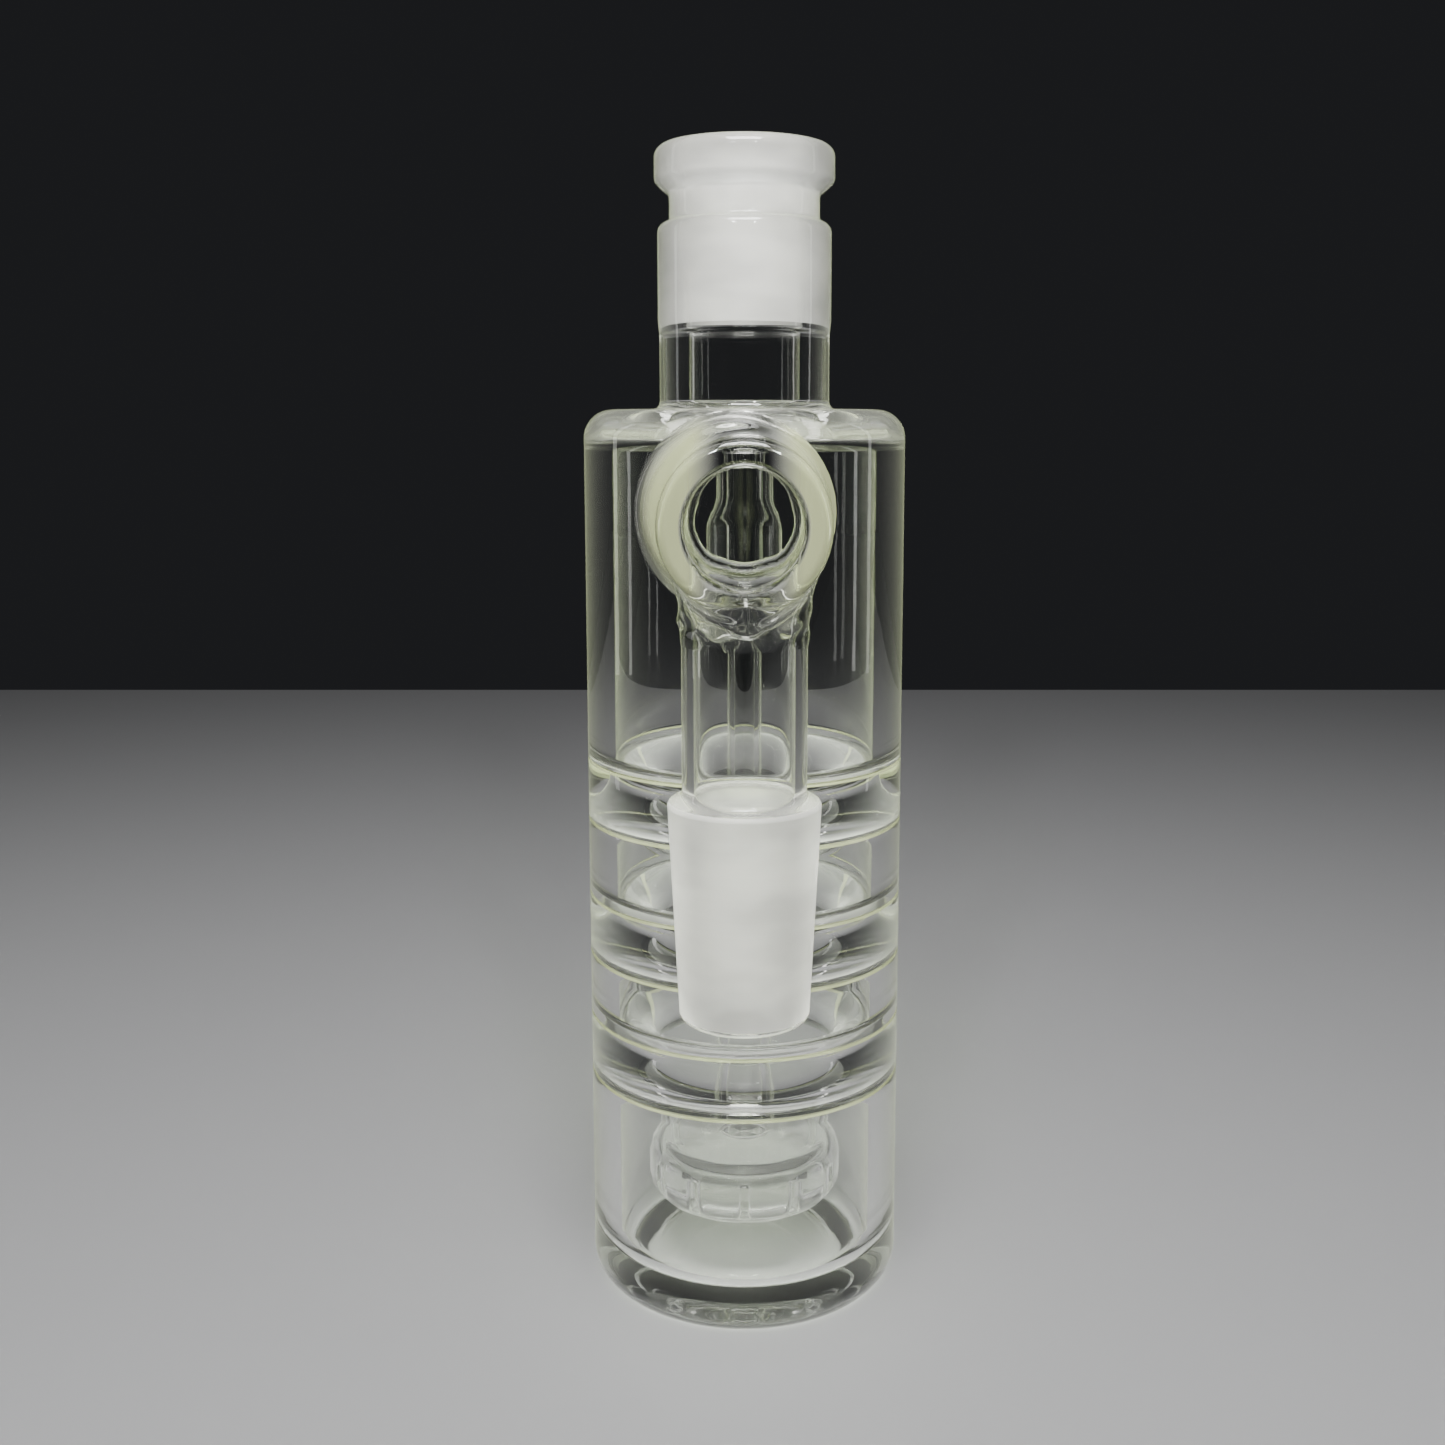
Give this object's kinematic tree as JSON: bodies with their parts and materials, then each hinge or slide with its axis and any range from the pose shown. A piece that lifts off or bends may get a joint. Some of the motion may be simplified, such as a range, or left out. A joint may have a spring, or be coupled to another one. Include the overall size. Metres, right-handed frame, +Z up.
{
  "type": "glass bubbler attachment",
  "caption": "Upright gas-washing chamber of fused clear glass: splash rings, slotted diffuser on a down tube, ground socket on top, and a side arm turning down to a male ground joint.",
  "frame": {"origin": "centre of the ring that the base stands on, in the plane of the table", "axes": "+Z up along the chamber axis towards the socket; the side arm and the male joint are on the -Y side"},
  "size_m": [0.045, 0.0685, 0.1626],
  "materials": {
    "clear_glass": "clear borosilicate glass, fire polished, with a faint yellow-green tint where it is thick",
    "ground_glass": "finely ground, frosted and slightly warm white"
  },
  "bodies": {
    "root": {"base": "clear_glass", "lower_wall": "clear_glass", "splash_ring_lower": "clear_glass", "lower_spacer_wall": "clear_glass", "splash_ring_middle": "clear_glass", "upper_spacer_wall": "clear_glass", "splash_ring_upper": "clear_glass", "upper_wall": "clear_glass", "shoulder": "clear_glass", "neck": "clear_glass", "ring_seal": "clear_glass", "down_tube": "clear_glass", "diffuser_cap": "clear_glass", "diffuser_cup": "clear_glass", "arm_weld": "clear_glass", "side_arm": "clear_glass", "arm_window": "clear_glass", "drop_weld": "clear_glass", "drop_tube": "clear_glass", "female_joint": "ground_glass", "male_joint": "ground_glass"}
  },
  "joints": []
}
